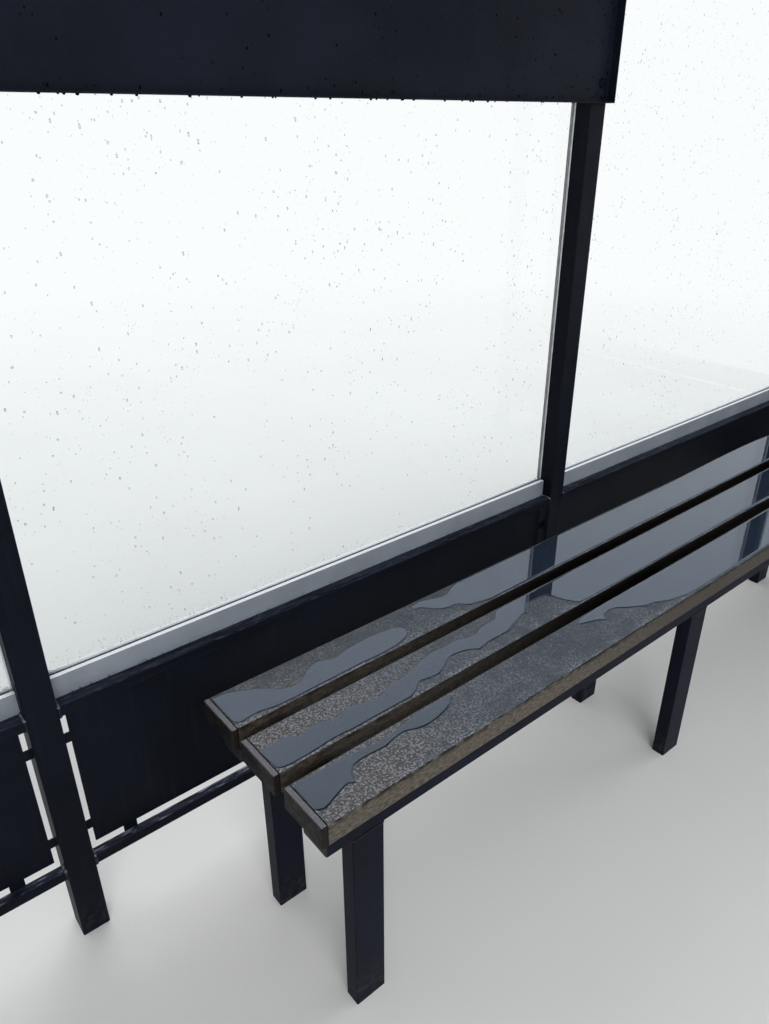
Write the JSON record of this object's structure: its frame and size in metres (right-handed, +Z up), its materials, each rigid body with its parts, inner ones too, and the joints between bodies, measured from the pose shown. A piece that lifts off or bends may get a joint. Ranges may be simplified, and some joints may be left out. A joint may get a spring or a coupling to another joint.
{
  "type": "bus shelter",
  "caption": "Bus shelter with glazed back and end walls, kick panels, an information tray and a slatted bench under a ribbed roof.",
  "frame": {"origin": "on the ground in the middle of the shelter's footprint", "axes": "+X along the back wall, to the right seen from the open front; +Y from the open front to the back wall; +Z up"},
  "size_m": [3.92, 1.4211, 2.31],
  "materials": {
    "painted_steel": "satin",
    "mill_aluminium": "satin",
    "clear_glass": "gloss",
    "composite_board": "matte",
    "board_end_cap": "matte",
    "roof_sheet_steel": "satin"
  },
  "bodies": {
    "root": {"back_glass_1": "clear_glass", "back_glass_2": "clear_glass", "back_glass_3": "clear_glass", "back_glazing_channels": "mill_aluminium", "back_head_beam": "painted_steel", "back_kick_panel_1": "painted_steel", "back_kick_panel_2": "painted_steel", "back_kick_panel_3": "painted_steel", "back_lower_rail": "painted_steel", "back_post_1": "painted_steel", "back_post_2": "painted_steel", "back_post_3": "painted_steel", "back_post_4": "painted_steel", "back_sill_rail": "painted_steel", "bench_crossbars": "painted_steel", "bench_front_legs": "painted_steel", "bench_front_rail": "painted_steel", "bench_rear_legs": "painted_steel", "bench_rear_rail": "painted_steel", "front_fascia": "painted_steel", "front_head_beam": "painted_steel", "front_post_left": "painted_steel", "front_post_right": "painted_steel", "front_slat": "composite_board", "info_tray": "painted_steel", "left_fascia": "painted_steel", "left_glass": "clear_glass", "left_glazing_channels": "mill_aluminium", "left_head_beam": "painted_steel", "left_kick_panel": "painted_steel", "left_lower_rail": "painted_steel", "left_sill_rail": "painted_steel", "middle_slat": "composite_board", "rear_slat": "composite_board", "right_fascia": "painted_steel", "right_glass": "clear_glass", "right_glazing_channels": "mill_aluminium", "right_head_beam": "painted_steel", "right_kick_panel": "painted_steel", "right_lower_rail": "painted_steel", "right_sill_rail": "painted_steel", "roof_purlins": "painted_steel", "roof_rafters": "painted_steel", "roof_sheet": "roof_sheet_steel", "slat_end_caps": "board_end_cap"}
  },
  "joints": []
}
